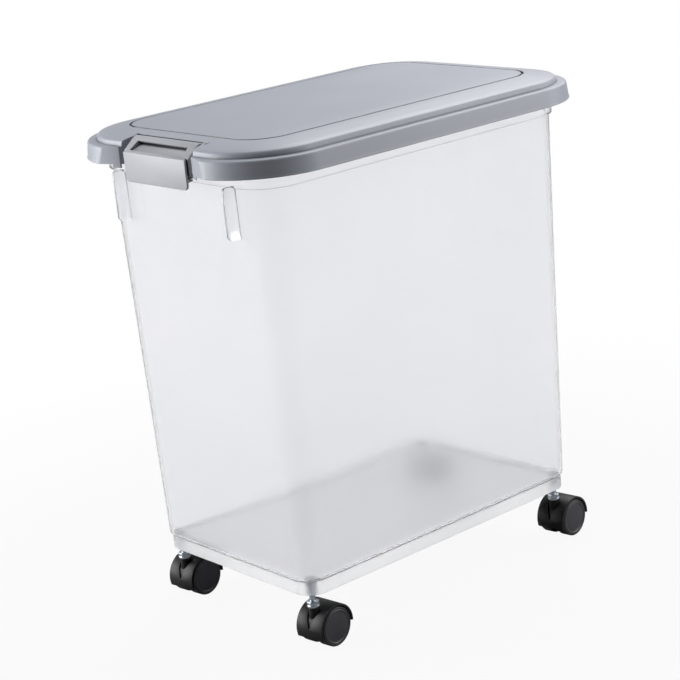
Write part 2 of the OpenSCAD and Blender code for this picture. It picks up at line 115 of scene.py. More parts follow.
def arc(r, start, end, steps):
    # points on an arc round the origin, angles in degrees
    angles = [math.radians(start + (end - start) * k / steps) for k in range(steps + 1)]
    return [(r * math.cos(t), r * math.sin(t)) for t in angles]


def drawChain(name, points, closed=True):
    # one vertex, then each further vertex extruded from the last, as a section is drawn by hand
    dropSelection()
    bpy.ops.mesh.primitive_plane_add(size=mm)
    piece = bpy.context.object
    piece.name = name
    bpy.ops.object.mode_set(mode="EDIT")
    bpy.ops.mesh.select_mode(type="VERT")
    bpy.ops.mesh.select_all(action="SELECT")
    bpy.ops.mesh.merge(type="CENTER")
    bpy.ops.transform.translate(value=Vector(points[0]) * mm)
    for a, b in zip(points, points[1:]):
        bpy.ops.mesh.extrude_vertices_move(TRANSFORM_OT_translate={"value": (Vector(b) - Vector(a)) * mm})
    if closed:
        first, last = Vector(points[0]), Vector(points[-1])
        pickVerts(piece, lambda p: (p - first).length < 1e-3 or (p - last).length < 1e-3)
        bpy.ops.mesh.edge_face_add()
    return piece


def closeUp(piece):
    # joins doubles and turns all faces outwards
    if piece.mode != "EDIT":
        takeUp(piece)
        bpy.ops.object.mode_set(mode="EDIT")
    bpy.ops.mesh.select_all(action="SELECT")
    bpy.ops.mesh.remove_doubles(threshold=0.002 * mm)
    bpy.ops.mesh.normals_make_consistent(inside=False)
    bpy.ops.object.mode_set(mode="OBJECT")
    return piece


def sweepRound(name, section, centre, steps=20, openAt=None):
    # runs a closed section (distance out from the corner centres, height) round a rounded rectangle
    cx, cy = centre
    piece = drawChain(name, [(cx + r, cy, z) for r, z in section])
    if openAt:
        # the short edge in the middle goes, so that a plate can span the whole of it
        pickEdges(piece, lambda a, b: max(a.x, b.x) < cx + openAt + 1e-2)
        bpy.ops.mesh.delete(type="EDGE")
    bpy.ops.mesh.select_mode(type="VERT")
    bpy.ops.mesh.select_all(action="SELECT")
    bpy.ops.mesh.extrude_region_move(TRANSFORM_OT_translate={"value": (0, -cy * mm, 0)})
    pickVerts(piece, lambda p: p.y > cy - 1e-3)
    bpy.ops.mesh.spin(steps=steps, angle=-math.pi / 2, center=(cx * mm, cy * mm, 0), axis=(0, 0, 1))
    pickVerts(piece, lambda p: abs(p.x - cx) < 1e-3 and p.y > cy + 1e-2)
    bpy.ops.mesh.extrude_region_move(TRANSFORM_OT_translate={"value": (-cx * mm, 0, 0)})
    bpy.ops.object.mode_set(mode="OBJECT")
    bpy.ops.object.modifier_add(type="MIRROR")
    mirror = piece.modifiers[-1]
    mirror.use_axis = (True, True, False)
    mirror.merge_threshold = 0.005 * mm
    bpy.ops.object.modifier_apply(modifier=mirror.name)
    # flat plates over the section's open rings
    closeUp(piece)
    bpy.ops.object.mode_set(mode="EDIT")
    bpy.ops.mesh.select_all(action="SELECT")
    bpy.ops.mesh.fill_holes(sides=0)
    return closeUp(piece)


def slab(name, outline, low, high, axis="z"):
    # a flat outline given thickness along one axis
    lay = {"x": lambda a, b: (low, a, b), "y": lambda a, b: (a, low, b), "z": lambda a, b: (a, b, low)}
    piece = drawChain(name, [lay[axis](a, b) for a, b in outline])
    bpy.ops.mesh.select_all(action="SELECT")
    bpy.ops.mesh.edge_face_add()
    way = Vector([(high - low) * mm if c == axis else 0 for c in "xyz"])
    bpy.ops.mesh.extrude_region_move(TRANSFORM_OT_translate={"value": way})
    return closeUp(piece)


def lathe(name, section, steps=64):
    # a section (radius, height) turned round Z
    piece = drawChain(name, [(r, 0, z) for r, z in section])
    bpy.ops.mesh.select_all(action="SELECT")
    bpy.ops.mesh.spin(steps=steps, angle=2 * math.pi, center=(0, 0, 0), axis=(0, 0, 1))
    return closeUp(piece)


def useModifier(piece, kind, **settings):
    takeUp(piece)
    bpy.ops.object.modifier_add(type=kind)
    step = piece.modifiers[-1]
    for key, value in settings.items():
        setattr(step, key, value)
    bpy.ops.object.modifier_apply(modifier=step.name)
    return piece


def soften(piece, width, segments=3, angle=35):
    return useModifier(piece, "BEVEL", width=width * mm, segments=segments, limit_method="ANGLE",
                       angle_limit=math.radians(angle), harden_normals=False, use_clamp_overlap=True)


def carve(piece, tool, how="DIFFERENCE"):
    useModifier(piece, "BOOLEAN", operation=how, object=tool, solver="EXACT")
    bpy.data.objects.remove(tool, do_unlink=True)
    return closeUp(piece)


def joinAll(name, parts):
    dropSelection()
    for part in parts:
        part.select_set(True)
    bpy.context.view_layer.objects.active = parts[0]
    bpy.ops.object.join()
    parts[0].name = name
    return parts[0]


def shiftTo(x, y, z):
    return Matrix.Translation(Vector((x, y, z)) * mm)


def bakePlace(piece, matrix):
    # moves the mesh itself, so that the object stays at the origin
    piece.matrix_world = matrix
    takeUp(piece)
    bpy.ops.object.transform_apply(location=True, rotation=True, scale=True)
    return piece


def copyPiece(piece, name):
    twin = piece.copy()
    twin.data = piece.data.copy()
    twin.name = name
    bpy.context.collection.objects.link(twin)
    return twin


def finishPiece(piece, finish, body, nodeName):
    piece.data.materials.clear()
    piece.data.materials.append(finish)
    takeUp(piece)
    bpy.ops.object.shade_smooth_by_angle(angle=math.radians(32))
    dropSelection()
    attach(piece, body)
    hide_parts(nodeName)


# Materials

white = (1, 1, 1, 1)


def linearColor(code):
    parts = [int(code[i:i + 2], 16) / 255 for i in (1, 3, 5)]
    return tuple(p / 12.92 if p <= 0.04045 else ((p + 0.055) / 1.055) ** 2.4 for p in parts) + (1.0,)


def newMaterial(name):
    finish = bpy.data.materials.new(name)
    finish.use_nodes = True
    finish.node_tree.nodes.clear()
    return finish


def addNode(finish, kind, sockets=None, links=None, **settings):
    # one node, its settings, its fixed socket values and what feeds it
    node = finish.node_tree.nodes.new(kind)
    for key, value in settings.items():
        setattr(node, key, value)
    for key, value in (sockets or {}).items():
        node.inputs[key].default_value = value
    for key, (source, output) in (links or {}).items():
        finish.node_tree.links.new(source.outputs[output], node.inputs[key])
    return node


def mouldedPlastic(name, settings):
    # injection moulded plastic: a very fine eroded grain and slow changes of tone from the melt flow
    finish = newMaterial(name)
    place = addNode(finish, "ShaderNodeTexCoord")
    grain = addNode(finish, "ShaderNodeTexNoise",
                    {"Scale": 1000 / settings["grainMm"], "Detail": 3.0, "Roughness": 0.6},
                    {"Vector": (place, "Object")})
    flow = addNode(finish, "ShaderNodeTexNoise",
                   {"Scale": 1000 / settings["flowMm"], "Detail": 2.0, "Roughness": 0.5},
                   {"Vector": (place, "Object")})
    tone = addNode(finish, "ShaderNodeValToRGB", None, {"Fac": (flow, "Fac")})
    for element, position, code in zip(tone.color_ramp.elements, (0.3, 0.7), ("dark", "light")):
        element.position = position
        element.color = linearColor(settings[code])
    color = (tone, "Color")
    spread = 0.04
    sheen = addNode(finish, "ShaderNodeMapRange",
                    {"From Min": 0.3, "From Max": 0.7,
                     "To Min": settings["roughness"] - spread, "To Max": settings["roughness"] + spread},
                    {"Value": (grain, "Fac")})
    if "coarse" in settings:
        # the base of the moulding has a coarser face than its walls
        level = settings["coarseBelowMm"]
        axes = addNode(finish, "ShaderNodeSeparateXYZ", None, {0: (place, "Object")})
        base = addNode(finish, "ShaderNodeMapRange",
                       {"From Min": level * mm, "From Max": (level + 4) * mm,
                        "To Min": settings["coarse"], "To Max": 0.0},
                       {"Value": (axes, "Z")})
        added = addNode(finish, "ShaderNodeMath", None, {0: (sheen, "Result"), 1: (base, "Result")},
                        operation="ADD")
        sheen = addNode(finish, "ShaderNodeMapRange", None, {"Value": (added, "Value")})
    bump = addNode(finish, "ShaderNodeBump",
                   {"Strength": settings["grainStrength"], "Distance": settings["grainDepthMm"] * mm},
                   {"Height": (grain, "Fac")})
    if "creviceShadeMm" in settings:
        # painted shade: the base colour is darkened close to the moulding's own grooves, gaps and recesses,
        # where shade falls
        near = addNode(finish, "ShaderNodeAmbientOcclusion", {"Distance": settings["creviceShadeMm"] * mm},
                       samples=8, only_local=True)
        paintedCreviceShade = addNode(finish, "ShaderNodeMapRange", {"From Min": 0.55, "From Max": 0.85, "To Min": 0.08},
                        {"Value": (near, "AO")})
        color = (addNode(finish, "ShaderNodeVectorMath", None, {0: color, 3: (paintedCreviceShade, "Result")},
                         operation="SCALE"), "Vector")
    shader = addNode(finish, "ShaderNodeBsdfPrincipled",
                     {"IOR": settings["ior"], **settings.get("extra", {})},
                     {"Base Color": color, "Roughness": (sheen, "Result"), "Normal": (bump, "Normal")})
    addNode(finish, "ShaderNodeOutputMaterial", None, {"Surface": (shader, "BSDF")})
    return finish


def turnedSteel(name, settings):
    # zinc plated or drawn steel: fine marks, drawn out flat, show as soft streaks
    finish = newMaterial(name)
    stretch = 12.0
    place = addNode(finish, "ShaderNodeTexCoord")
    drawn = addNode(finish, "ShaderNodeMapping", {"Scale": (1.0, 1.0, stretch)},
                    {"Vector": (place, "Object")})
    marks = addNode(finish, "ShaderNodeTexNoise",
                    {"Scale": 1000 / settings["markMm"] / stretch, "Detail": 2.0},
                    {"Vector": (drawn, "Vector")})
    tone = addNode(finish, "ShaderNodeValToRGB", None, {"Fac": (marks, "Fac")})
    for element, position, code in zip(tone.color_ramp.elements, (0.35, 0.65), ("dark", "light")):
        element.position = position
        element.color = linearColor(settings[code])
    bump = addNode(finish, "ShaderNodeBump", {"Strength": 0.25, "Distance": 0.05 * mm},
                   {"Height": (marks, "Fac")})
    shader = addNode(finish, "ShaderNodeBsdfPrincipled",
                     {"Metallic": 1.0, "Roughness": settings["roughness"]},
                     {"Base Color": (tone, "Color"), "Normal": (bump, "Normal")})
    addNode(finish, "ShaderNodeOutputMaterial", None, {"Surface": (shader, "BSDF")})
    return finish


finishes = {
    # unpigmented polypropylene lets light through and looks milky
    "binPlastic": mouldedPlastic("translucentPolypropylene", {
        "dark": "#FAFBFD", "light": "#FDFDFF", "roughness": 0.12, "ior": 1.49, "grainMm": 0.9, "flowMm": 160,
        "grainStrength": 0.03, "grainDepthMm": 0.04, "coarseBelowMm": 71.6, "coarse": 0.3,
        "extra": {"Transmission Weight": 0.92}}),
    # pigmented polypropylene with a satin spark eroded face
    "lidPlastic": mouldedPlastic("greyPolypropylene", {
        "dark": "#999DA7", "light": "#9FA3AD", "roughness": 0.44, "ior": 1.49, "grainMm": 0.8, "flowMm": 120,
        # the last value sets how far the painted shade in grooves and gaps reaches, in mm
        "grainStrength": 0.12, "grainDepthMm": 0.05, "creviceShadeMm": 4.0}),
    "latchPlastic": mouldedPlastic("paleGreyPolypropylene", {
        "dark": "#A0A3A9", "light": "#A6A9AF", "roughness": 0.42, "ior": 1.49, "grainMm": 0.8, "flowMm": 60,
        # the last value sets how far the painted shade in grooves and gaps reaches, in mm
        "grainStrength": 0.12, "grainDepthMm": 0.05, "creviceShadeMm": 5.0}),
    "gasketRubber": mouldedPlastic("whiteSilicone", {
        "dark": "#E2E2E0", "light": "#EAEAE8", "roughness": 0.6, "ior": 1.41, "grainMm": 1.0, "flowMm": 50,
        "grainStrength": 0.1, "grainDepthMm": 0.04}),
    "hoodPlastic": mouldedPlastic("blackNylon", {
        "dark": "#0C0C0D", "light": "#121213", "roughness": 0.5, "ior": 1.53, "grainMm": 0.7, "flowMm": 20,
        "grainStrength": 0.15, "grainDepthMm": 0.05, "extra": {"Specular IOR Level": 0.3}}),
    "wheelPlastic": mouldedPlastic("darkGreyNylon", {
        "dark": "#1E1E21", "light": "#262629", "roughness": 0.42, "ior": 1.53, "grainMm": 0.7, "flowMm": 15,
        "grainStrength": 0.2, "grainDepthMm": 0.06}),
    "capPlastic": mouldedPlastic("darkGreyNylonDisc", {
        "dark": "#333338", "light": "#3B3B40", "roughness": 0.36, "ior": 1.53, "grainMm": 0.7, "flowMm": 15,
        "grainStrength": 0.1, "grainDepthMm": 0.05}),
    "zincSteel": turnedSteel("zincPlatedSteel", {
        "dark": "#B9C2CC", "light": "#DCE3EA", "roughness": 0.28, "markMm": 0.35}),
    "pinSteel": turnedSteel("drawnSteel", {
        "dark": "#A9ADB2", "light": "#C6CACE", "roughness": 0.32, "markMm": 0.3}),
}
print("materials ready:", len(finishes))


# Tub

# flatStart is how far out from the corner centres a swept section starts, and with it the flat middle
flatStart = 3

tub = {
    "centre": (96, 164.8), "wallR": 24, "draft": 0.028, "wall": 2.4, "footZ": 59, "ledgeZ": 75.5,
    "footInset": 2.5, "floorZ": 75, "floorT": 2.6, "rimZ": 488, "collarZ": 469, "collarTopZ": 481,
    "collarOut": 3, "lip": 2, "lipT": 1.6, "hingeX": 60, "hingeY": 214.05, "hingeZ": 486, "pinR": 3,
    "pinHalf": 12.5, "bracketX": 12.6, "bracketHalf": 1.5, "guideX": 87, "guideHalf": 1.2, "catchW": 68,
    "socketX": 104.8, "socketY": 173.6, "socketTopZ": 73.5}


def tubR(z):
    return tub["wallR"] + tub["draft"] * (z - tub["ledgeZ"])


def makeTub():
    wall, footZ, ledgeZ, floorZ = tub["wall"], tub["footZ"], tub["ledgeZ"], tub["floorZ"]
    rimZ, collarZ, topZ = tub["rimZ"], tub["collarZ"], tub["collarTopZ"]
    underZ = floorZ - tub["floorT"]
    footR = tub["wallR"] - tub["footInset"]
    rimR = tubR(rimZ)
    collarR = tubR(collarZ) + tub["collarOut"]
    lipR, lipZ = collarR + tub["lip"], topZ - tub["lipT"]
    inR = tubR(floorZ) - wall
    section = roundOff([
        (footR - wall, footZ, 0.8), (footR, footZ, 0.8), (footR, ledgeZ - 1.2, 0.8),
        (tub["wallR"], ledgeZ, 1.8), (tubR(collarZ), collarZ, 0.5), (collarR, collarZ, 1.0),
        (collarR, lipZ, 0.4), (lipR, lipZ, 0.5), (lipR, topZ, 0.6),
        (tubR(topZ) + 0.4, topZ, 0.5), (rimR + 0.6, rimZ - 1.2, 0.6), (rimR - 0.1, rimZ, 0.6),
        (rimR - wall, rimZ, 0.6), (inR + tub["draft"] * 6, floorZ + 6, 20), (inR - 0.2, floorZ, 6),
        (flatStart, floorZ, 0), (flatStart, underZ, 0), (footR - wall, underZ, 1.2)])
    return sweepRound("tubWall", section, tub["centre"], 24, flatStart)


def addTubParts(body):
    # what is moulded onto the wall: sockets, hinge brackets, catch rib and guide ribs
    parts = [body]
    bracketOutline = roundOff([
        (199.2, 473, 0), (206.0, 478, 2), (216.0, 481, 2), (219.0, 484, 2), (219.0, 488, 2),
        (216.0, 491, 2), (210.0, 490, 3), (199.2, 484, 0)])
    guideOutline = roundOff([
        (-198.0, 471, 0), (-198.0, 420, 0), (-209.8, 420, 3), (-213.6, 424, 2), (-213.8, 469, 2),
        (-212.0, 471, 0)])
    catchOutline = roundOff([
        (-201.6, 479.5, 0), (-208.3, 478, 0.8), (-209.2, 476.8, 0.8), (-209.2, 474, 0.4), (-201.6, 474, 0)])
    pinR, pinHalf = tub["pinR"], tub["pinHalf"]
    footZ, socketTopZ = tub["footZ"], tub["socketTopZ"]
    for sx in (-1, 1):
        for side in (-1, 1):
            middle = sx * tub["hingeX"] + side * tub["bracketX"]
            half = tub["bracketHalf"]
            parts.append(slab("bracket", bracketOutline, middle - half, middle + half, "x"))
        pin = lathe("hingePin", [(0.001, -pinHalf), (pinR, -pinHalf), (pinR, pinHalf), (0.001, pinHalf)], 32)
        hinge = shiftTo(sx * tub["hingeX"], tub["hingeY"], tub["hingeZ"])
        parts.append(bakePlace(pin, hinge @ quarterTurn))
        middle, half = sx * tub["guideX"], tub["guideHalf"]
        guide = slab("guideRib", guideOutline, middle - half, middle + half, "x")
        parts.append(soften(guide, 0.5, 2))
        for sy in (-1, 1):
            spot = shiftTo(sx * tub["socketX"], sy * tub["socketY"], 0)
            socket = lathe("stemSocket", roundOff([
                (4.06, footZ, 0.5), (5.5, footZ, 0.5), (5.6, socketTopZ, 0), (4.06, socketTopZ, 0)]), 32)
            parts.append(bakePlace(socket, spot))
            web = slab("socketWeb", [(4.6, -0.8), (7.4, -0.8), (7.4, 0.8), (4.6, 0.8)], 60.5, socketTopZ)
            parts.append(bakePlace(web, spot @ Matrix.Rotation(math.atan2(sy, sx), 4, "Z")))
    catch = slab("catchRib", catchOutline, -tub["catchW"] / 2, tub["catchW"] / 2, "x")
    parts.append(soften(catch, 0.4, 2))
    return joinAll("tubShell", parts)


tubShell = addTubParts(makeTub())
finishPiece(tubShell, finishes["binPlastic"], "bin", "bin_body")
print("tub ready:", len(tubShell.data.polygons), "faces")


# Lid

lid = {
    "centre": (76, 150.5), "skirtZ": 482.8, "ledgeZ": 500.1, "topZ": 511, "skirtR": 81.7, "wall": 2.4,
    "grooveDeep": 2.0, "grooveBacking": 0.9, "pivotY": -205, "pivotZ": 503.5, "barrelR": 5.5,
    "barrelGap": 0.4, "slotHalf": 53, "padHalf": 58, "padZ": 509.6, "bayBack": 53, "bayThroat": 57.5,
    "bayThroatY": -223.2, "bayMouth": 84, "bayMouthY": -231.6, "bayRound": 60, "bayLipZ": 479.5,
    "aboveZ": 520, "knuckleHalf": 10.7}


def lidOuterPoints():
    r, low, ledge, top = lid["skirtR"], lid["skirtZ"], lid["ledgeZ"], lid["topZ"]
    grooveZ = top - lid["grooveDeep"]
    return [
        (r, low, 0.6), (r - 0.9, low + 2.6, 3), (r - 2.6, ledge, 2.4), (r - 12.2, ledge, 0.5),
        (r - 13.0, ledge + 5.4, 4.5), (r - 22, ledge + 7.4, 10), (r - 34, top - 1.6, 18),
        (r - 45.3, top - 0.1, 0.3), (r - 45.6, grooveZ, 0.3), (r - 47.8, grooveZ, 0.3), (r - 48.1, top, 0.3)]


def lidInnerPoints():
    r, low, ledge, top = lid["skirtR"] - lid["wall"], lid["skirtZ"], lid["ledgeZ"], lid["topZ"]
    wall = lid["wall"]
    return [
        (r, low, 0.5), (r - 0.9, low + 2.6, 3), (r - 2.9, ledge - wall, 1.5), (r - 12.8, ledge - wall, 1),
        (r - 13.5, ledge + 2.6, 3), (r - 22, ledge + 5.0, 6), (r - 34, top - 1.6 - wall, 12),
        (r - 46, top - wall - lid["grooveBacking"], 2)]


def bayOutline(grow, spread):
    # plan of the latch bay; spread curves the skirt in towards its mouth
    back = lid["pivotY"] + grow
    mouth = lid["bayMouth"]
    side = [(lid["bayBack"] + grow, back, 1.5), (lid["bayThroat"] + grow, lid["bayThroatY"] + grow / 2, 1.2)]
    if spread:
        side += [(mouth, lid["bayMouthY"], lid["bayRound"]), (mouth + 20, -232.4, 0), (mouth + 20, -250, 0)]
    else:
        side += [(mouth + grow, -229.2, 0), (mouth + grow, -236, 0)]
    return roundOff(side + [(-x, y, r) for x, y, r in reversed(side)])


def cutLatchSeat(shell):
    # round seat for the latch's barrel, a slot above it and a hollow behind it
    y, z, half, above = lid["pivotY"], lid["pivotZ"], lid["slotHalf"], lid["aboveZ"]
    seatR = lid["barrelR"] + lid["barrelGap"]
    barrel = lathe("barrelTool", [(0.001, -half), (seatR, -half), (seatR, half), (0.001, half)], 48)
    bakePlace(barrel, shiftTo(0, y, z) @ quarterTurn)
    carve(shell, barrel)
    slot = [(y - 1, z), (y + 4.2, z), (y + 4.2, above), (y - 1, above)]
    carve(shell, slab("slotTool", slot, -half, half, "x"))
    hollow = [(y + 3, 505.4), (y + 9, 505.4), (y + 9, 508.7), (y + 3, 508.7)]
    carve(shell, slab("slotHollow", hollow, -half + 0.4, half - 0.4, "x"))


def makeLid():
    top, wall, centre = lid["topZ"], lid["wall"], lid["centre"]
    outer = lidOuterPoints() + [(flatStart, top, 0)]
    underside = [(flatStart, top - wall - lid["grooveBacking"], 0)] + list(reversed(lidInnerPoints()))
    shell = sweepRound("lidShell", roundOff(outer + underside), centre, 24, flatStart)
    # raised rim round the latch barrel
    pad = slab("slotRim", [(-206, 502.5), (-206, 508.2), (-203.6, lid["padZ"]), (-191, lid["padZ"]),
                           (-186, 508.5), (-186, 504.5)], -lid["padHalf"], lid["padHalf"], "x")
    carve(shell, soften(pad, 1.2, 3, 20), "UNION")
    # walls of the bay, kept under the lid's own face
    bulk = sweepRound("lidBulk", roundOff(outer + [(flatStart, lid["skirtZ"], 0)]), centre, 24, flatStart)
    walls = slab("bayWalls", bayOutline(wall, False), lid["skirtZ"] + 0.05, lid["aboveZ"])
    carve(walls, bulk, "INTERSECT")
    carve(shell, walls, "UNION")
    x, y = lid["bayThroat"], lid["bayThroatY"]
    for sx in (-1, 1):
        # the flared walls reach a little below the skirt
        lipOutline = [(x - 2, y + 1.2), (x + 2.4, y + 1.2), (x + 9, y - 2.2), (x + 8, y - 4.5),
                      (x - 2, y - 1)]
        lip = slab("bayLip", [(sx * a, b) for a, b in lipOutline], lid["bayLipZ"], 486)
        carve(shell, soften(lip, 0.5, 2), "UNION")
    carve(shell, slab("bayTool", bayOutline(0, True), 470, 530))
    cutLatchSeat(shell)
    # gasket channel: two ribs and the plate between them, each (inner, outer, bottom, top)
    parts = [shell]
    ribs = ((29.65, 31.45, 489.6, 507.2), (37.25, 39.05, 489.0, 506.3), (30.45, 38.25, 492.5, 494.5))
    for low, high, bottom, ribTop in ribs:
        ring = roundOff([(low, bottom, 0.4), (high, bottom, 0.4), (high, ribTop, 0), (low, ribTop, 0)])
        parts.append(sweepRound("channelRib", ring, tub["centre"], 16))
    # hinge knuckles: open hooks that snap over the tub's pins, drawn from the pin's middle
    hook = [(-2.6, -4.8), (-2.6, -1.7), (-3.03, 0)]
    grip = arc(3.06, 180, 0, 12)
    back = [(2.6, -1.7), (2.6, -4.8), (4.0, -3.6), (5.3, -1.0), (4.6, 2.5), (4.6, 14.5), (1.0, 18.6),
            (-5.4, 19.2), (-5.4, 0), (-4.4, -3.0)]
    outline = [(tub["hingeY"] + a, tub["hingeZ"] + b) for a, b in hook + grip + back]
    for sx in (-1, 1):
        middle, half = sx * tub["hingeX"], lid["knuckleHalf"]
        parts.append(slab("knuckle", outline, middle - half, middle + half, "x"))
    return joinAll("lidShell", parts)


lidShell = makeLid()
finishPiece(lidShell, finishes["lidPlastic"], "lid", "lid")
print("lid ready:", len(lidShell.data.polygons), "faces")


# Latch

latch = {
    "half": 51, "plateHalf": 48.8, "plateY": -224.7, "plateTop": 496.6, "plateLow": 467.4, "thick": 2.5,
    "cheekLow": 480.5, "pocketHalf": 41, "pocketDeep": 3.4, "pocketLong": 15.2, "pocketFlare": 4.5,
    "pinR": 2, "pinHalf": 57, "hookHalf": 34, "hookTipY": -206.3}


def makePocketTool(upper, lower):
    # the floor of the finger pocket is smaller than its mouth and falls away to the top
    half, flare, long = latch["pocketHalf"], latch["pocketFlare"], latch["pocketLong"]
    pocket = slab("pocketTool", [(-half, 0), (half, 0), (half + flare, -long), (-half - flare, -long)], 0, 8)
    takeUp(pocket)
    bpy.ops.object.mode_set(mode="EDIT")
    pickVerts(pocket, lambda p: p.z < 1)
    bpy.ops.transform.resize(value=(0.93, 1, 1))
    pickVerts(pocket, lambda p: p.z < 1 and p.y > -1)
    bpy.ops.transform.translate(value=(0, 1.2 * mm, -2.2 * mm))
    pickVerts(pocket, lambda p: p.z < 1 and p.y < -14)
    bpy.ops.transform.translate(value=(0, 1.5 * mm, 1.8 * mm))
    bpy.ops.object.mode_set(mode="OBJECT")
    slope = math.atan2(upper[1] - lower[1], upper[0] - lower[0])
    spot = shiftTo(0, upper[0] - 0.1, upper[1] - latch["pocketDeep"])
    bakePlace(pocket, spot @ Matrix.Rotation(slope, 4, "X"))
    return soften(pocket, 0.4, 2)


def makeLatch():
    y, z = lid["pivotY"], lid["pivotZ"]
    top, low, front, cheek = latch["plateTop"], latch["plateLow"], latch["plateY"], latch["cheekLow"]
    # bar over the barrel and sloped cheeks, one block across the whole width
    upper, lower = (y - 5.5, z + 3.2), (front + 3.4, top + 1.0)
    wedge = slab("latchBody", roundOff([
        (y + 2.4, z + 4.4, 1.6), (y - 1.5, z + 5.2, 1.5), (*upper, 1.5), (*lower, 1.2),
        (front + 3.4, cheek, 0.8), (front + 6.0, cheek, 0.8), (front + 6.0, top - 5.0, 2.0),
        (y - 6.0, z - 6.4, 1.0), (y - 1.5, z - 5.2, 0)]), -latch["half"], latch["half"], "x")
    soften(wedge, 0.7, 3)
    pocket = makePocketTool(upper, lower)
    hollow = copyPiece(pocket, "barrelHollow")
    carve(wedge, pocket)
    # front plate with round lower corners, and the strip that ties it to the cheeks
    half = latch["plateHalf"]
    outline = roundOff([(-half, low, 5), (half, low, 5), (half, top, 0.8), (-half, top, 0.8)])
    plate = slab("latchPlate", outline, front, front + latch["thick"], "y")
    soften(plate, 0.7, 3)
    back = slab("plateTop", [(front + 0.6, top - 0.1), (front + 4.6, top + 1.6), (front + 5.0, top - 2.6),
                             (front + 0.9, top - 3.0)], -half + 1, half - 1, "x")
    soften(back, 0.5, 2)
    # barrel and pins along the pivot
    r, half = lid["barrelR"], latch["half"]
    barrel = lathe("latchBarrel", roundOff([
        (0.001, -half, 0), (r, -half, 0.6), (r, half, 0.6), (0.001, half, 0)]), 48)
    r, half = latch["pinR"], latch["pinHalf"]
    pins = lathe("latchPins", roundOff([
        (0.001, -half, 0), (r, -half, 0.5), (r, half, 0.5), (0.001, half, 0)]), 32)
    for part in (barrel, pins):
        bakePlace(part, shiftTo(0, y, z) @ quarterTurn)
    carve(barrel, hollow)
    # hook that snaps under the tub's catch rib
    tip = latch["hookTipY"]
    hook = slab("latchHook", roundOff([(front + 1.5, 473.4, 0), (tip, 473.4, 0.4), (tip, 471.7, 0.6),
                                       (front + 1.5, 469.6, 0)]), -latch["hookHalf"], latch["hookHalf"], "x")
    soften(hook, 0.3, 2)
    return joinAll("latchBody", [wedge, plate, back, barrel, pins, hook])


latchBody = makeLatch()
finishPiece(latchBody, finishes["latchPlastic"], "latch", "latch")
print("latch ready:", len(latchBody.data.polygons), "faces")


# Casters: each kind of piece is modelled once round its stem or axle and copied to the four corners

caster = {
    "turn": 7, "trail": 13.6, "wheelR": 20, "boreR": 2.56, "width": 34.2, "wheelT": 12.6,
    "hoodIn": 21.2, "hoodOut": 23.5, "hoodHalf": 16.8, "frontAngle": 200, "rearAngle": -3, "webHalf": 3.5,
    "neckR": 3.1, "bossR": 5.2, "flangeZ": 44, "capR": 17.9}


def makeHood():
    ax, az = caster["trail"], caster["wheelR"]
    inside, outside = caster["hoodIn"], caster["hoodOut"]
    front, rear, half = caster["frontAngle"], caster["rearAngle"], caster["hoodHalf"]
    around = arc(outside, rear, front, 40) + arc(inside, front, rear, 40)
    band = slab("hood", [(ax + a, az + b) for a, b in around], -half, half, "x")
    # recess under the stem, between the two fenders
    carve(band, slab("recessTool", [(-9.5, 46), (0, 22), (9.5, 46)], -14, 1.5, "y"))
    soften(band, 0.5, 2)
    middle = arc(inside + 1, 3, 196, 30) + [(-5.5, -3.5), (-2.5, -6), (2.5, -6), (5.5, -3)]
    half = caster["webHalf"]
    web = slab("hoodWeb", [(ax + a, az + b) for a, b in middle], -half, half, "x")
    neck, r, high = caster["neckR"], caster["bossR"], caster["flangeZ"]
    boss = lathe("hoodBoss", roundOff([
        (neck, 31, 0), (r, 31, 0.6), (r, high - 0.6, 0.6), (r - 0.4, high, 0.4), (neck, high, 0.4)]), 40)
    return joinAll("hood", [band, web, boss])


def makeStem():
    turned = lathe("stem", roundOff([
        (0.001, 32, 0), (3, 32, 0.6), (3, 44, 0), (6.3, 44, 0.5), (6.3, 46.2, 0.5), (5.2, 46.4, 0.2),
        (5.2, 50, 0.6), (3, 50, 0.3), (3, 59.2, 0.4), (4, 59.5, 0.4), (4, 64.9, 0.2), (3.2, 65, 0.1),
        (3.2, 69, 0.1), (4, 69.1, 0.2), (4, 71, 0.3), (3.2, 71.8, 0.3), (0.001, 71.8, 0)]), 48)
    hexagon = slab("stemHex", arc(6.4, 0, 300, 5), 46.1, 50)
    soften(hexagon, 0.5, 2)
    return joinAll("stem", [turned, hexagon])


def makeWheel():
    w, r, bore = caster["width"] / 2, caster["wheelR"], caster["boreR"]
    inner = w - caster["wheelT"]
    return lathe("wheel", roundOff([
        (bore, inner + 1, 0.2), (6, inner + 1, 0.3), (6, inner + 3.5, 0.5), (16, inner + 3.5, 1),
        (16.4, inner, 0.5), (r, inner, 1.4), (r, w - 0.4, 1.8), (18, w - 0.4, 0.3), (18, w - 2, 0),
        (5.9, w - 2, 0), (5.9, w - 2.6, 0), (bore, w - 2.6, 0)]), 72)


def makeCap():
    w, r = caster["width"] / 2, caster["capR"]
    return lathe("wheelCap", roundOff([
        (0.001, w - 2, 0), (r, w - 2, 0), (r, w - 0.5, 0.5), (16.6, w - 0.2, 0.3), (15.4, w - 0.75, 0.3),
        (12, w - 0.45, 4), (0.001, w, 0)]), 72)


